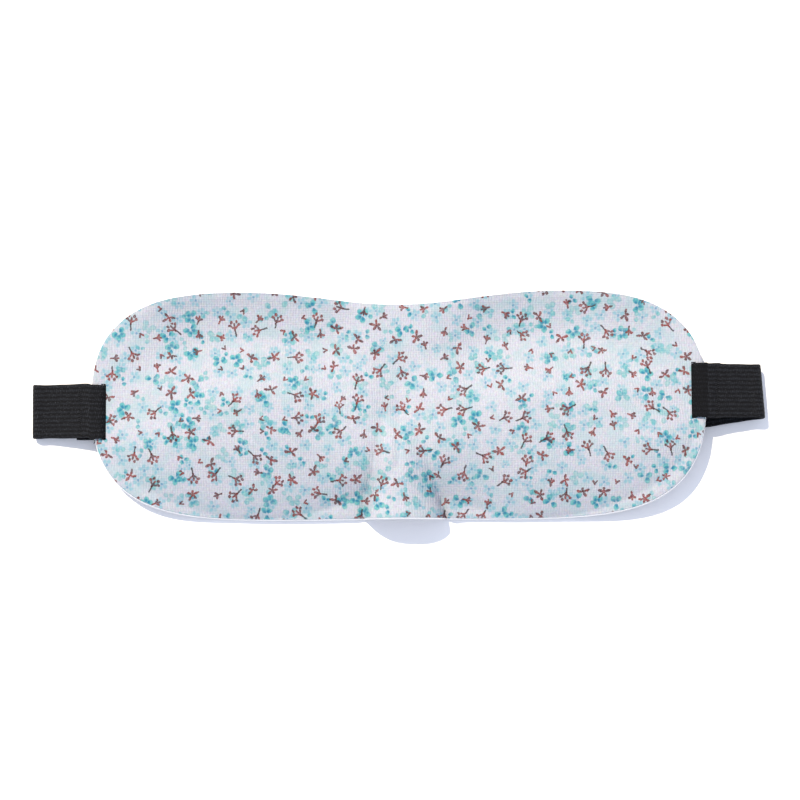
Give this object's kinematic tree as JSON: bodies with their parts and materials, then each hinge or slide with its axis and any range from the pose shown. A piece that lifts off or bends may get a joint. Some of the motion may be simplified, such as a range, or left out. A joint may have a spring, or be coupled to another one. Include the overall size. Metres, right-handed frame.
{
  "type": "sleep mask",
  "caption": "Moulded two-eye sleep mask with printed knit front, foam core, eye cavities, nose arch and two folded elastic straps with hook-and-loop ends.",
  "frame": {"origin": "centre of the whole object's box at the surface it lies on", "axes": "+X along the mask's width towards the wearer's left, +Y towards the brow, +Z out of the printed front"},
  "size_m": [0.2746, 0.086, 0.0174],
  "materials": {
    "printed_knit": "matte knit with a small floral print",
    "foam": "matte open foam, die-cut edge",
    "lining_knit": "matte brushed knit",
    "black_elastic": "ribbed woven elastic",
    "hook_tape": "moulded hooks on woven tape",
    "loop_tape": "napped loop tape",
    "black_thread": "polyester sewing thread"
  },
  "bodies": {
    "mask": {"front_cover": "printed_knit", "foam_core": "foam", "back_lining": "lining_knit", "nose_pad": "lining_knit", "left_strap_loop": "black_elastic", "right_strap_loop": "black_elastic", "left_bartack": "black_thread", "right_bartack": "black_thread"},
    "left_stub": {"left_strap_stub": "black_elastic", "left_strap_fold": "black_elastic"},
    "left_run": {"left_strap_run": "black_elastic", "hook_patch": "hook_tape", "hook_patch_stitching": "black_thread"},
    "right_stub": {"right_strap_stub": "black_elastic", "right_strap_fold": "black_elastic"},
    "right_run": {"right_strap_run": "black_elastic", "loop_patch": "loop_tape", "loop_patch_stitching": "black_thread"}
  },
  "joints": [
    {"name": "left_strap_swing", "type": "hinge", "parent": "mask", "child": "left_stub", "pos_m": [-0.1219, -0.0015, 0.0065], "axis": [0, 1, 0], "range_deg": [0, 100]},
    {"name": "left_strap_unfold", "type": "hinge", "parent": "left_stub", "child": "left_run", "pos_m": [-0.1349, -0.0015, 0.0024], "axis": [0, 1, 0], "range_deg": [0, 179], "deforming": ["left_strap_fold"]},
    {"name": "right_strap_swing", "type": "hinge", "parent": "mask", "child": "right_stub", "pos_m": [0.1219, 0.0045, 0.009], "axis": [0, -1, 0], "range_deg": [0, 100]},
    {"name": "right_strap_unfold", "type": "hinge", "parent": "right_stub", "child": "right_run", "pos_m": [0.13345, 0.0045, 0.00445], "axis": [0.0698, -0.9976, 0], "range_deg": [0, 179], "deforming": ["right_strap_fold"]}
  ]
}
